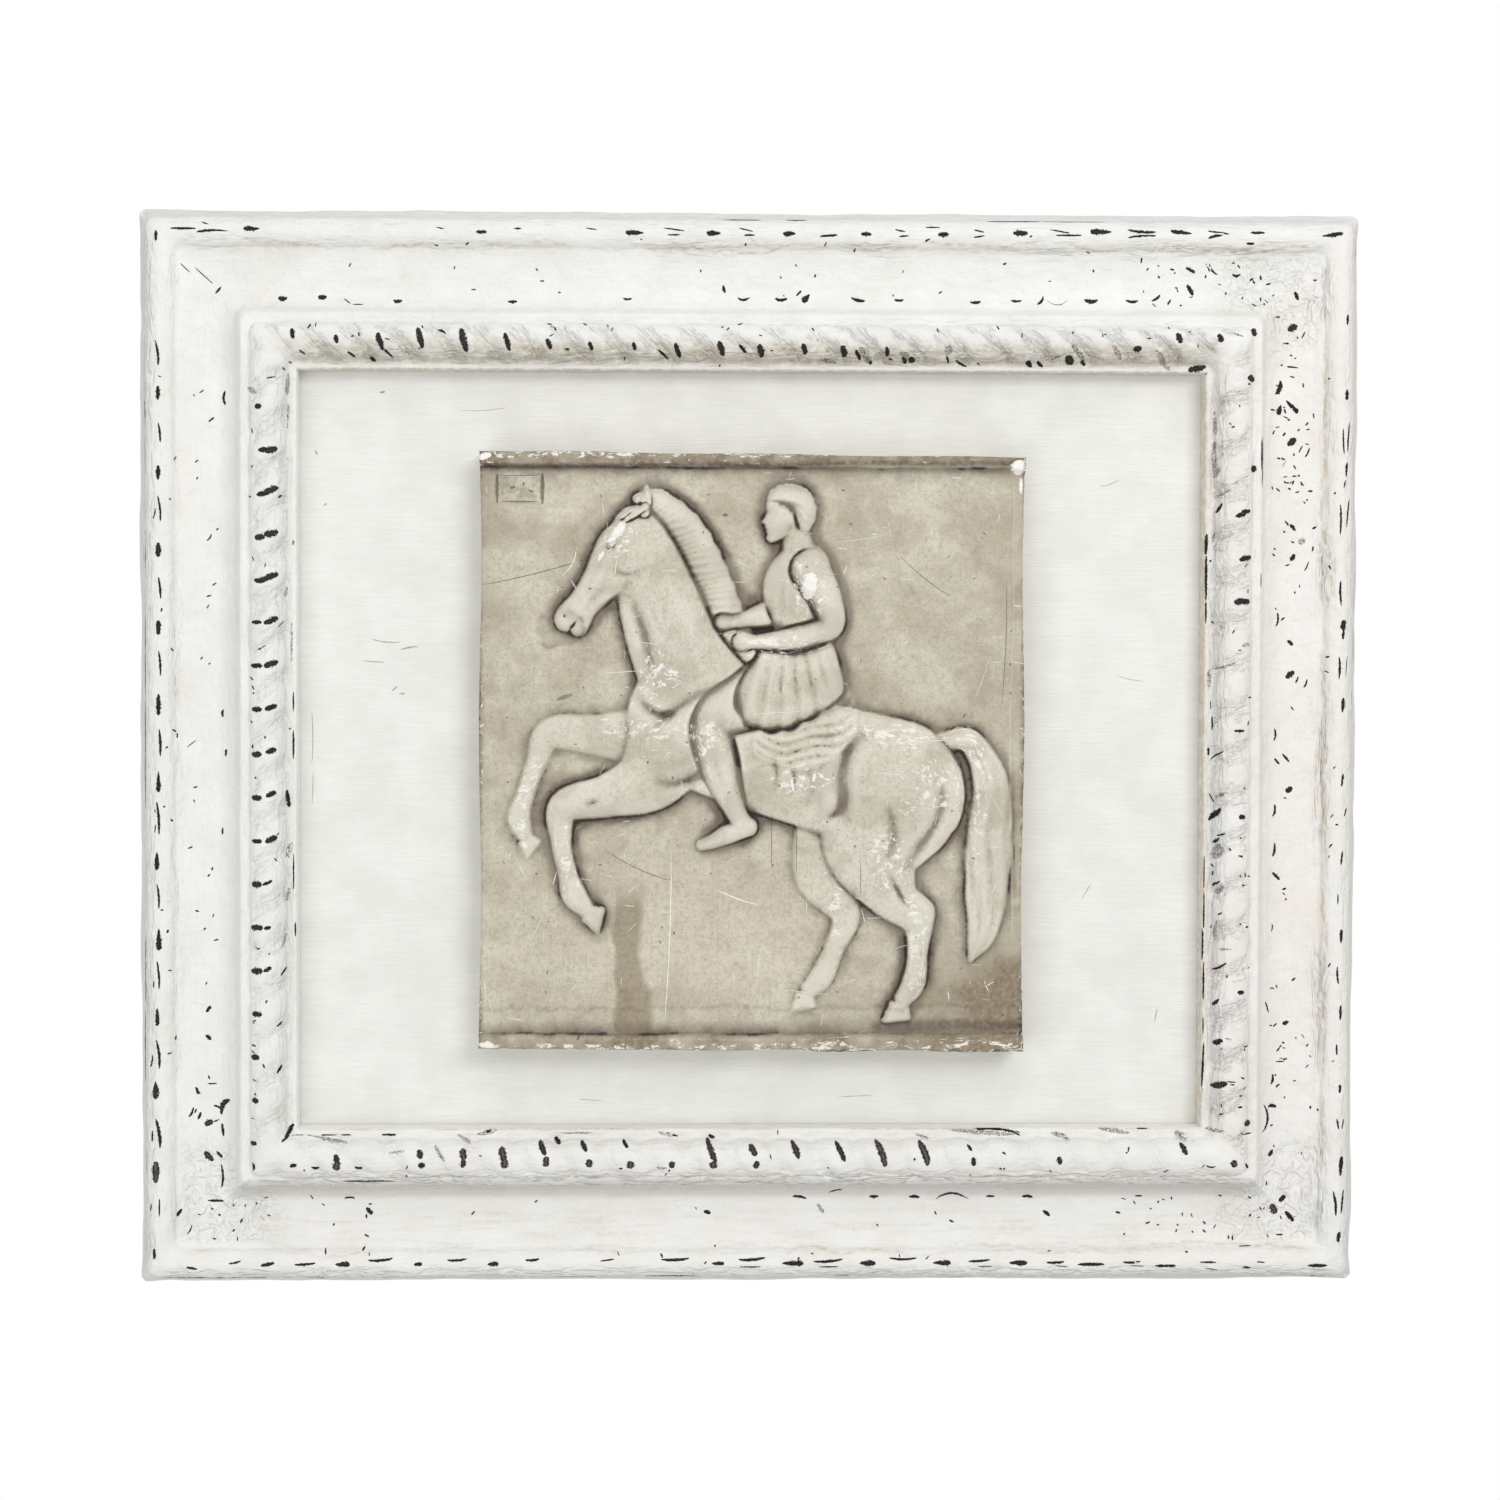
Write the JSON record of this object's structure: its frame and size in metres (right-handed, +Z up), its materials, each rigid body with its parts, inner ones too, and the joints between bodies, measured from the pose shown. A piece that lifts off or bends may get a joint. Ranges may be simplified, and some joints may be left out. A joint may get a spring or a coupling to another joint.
{
  "type": "framed plaster relief plaque",
  "caption": "Cast plaster relief of a horse and rider, fixed to a white board inside a wide moulded picture frame with worn white paint; hangs flat on a wall.",
  "frame": {"origin": "on the flat back of the upper frame rail, halfway along it, 40 mm below the frame's upper edge", "axes": "+Y points back into the wall, so the relief faces -Y; +Z is up; +X is to the viewer's right"},
  "size_m": [0.689, 0.0456, 0.606],
  "materials": {
    "frame_paint": "matte, worn white paint over wood and gesso",
    "board_paint": "matte, brushed white paint",
    "plaster": "matte, aged and grimy cast plaster"
  },
  "bodies": {
    "root": {"plaster_plaque": "plaster", "backing_board": "board_paint", "frame_rail_top": "frame_paint", "frame_rail_bottom": "frame_paint", "frame_rail_left": "frame_paint", "frame_rail_right": "frame_paint"}
  },
  "joints": []
}
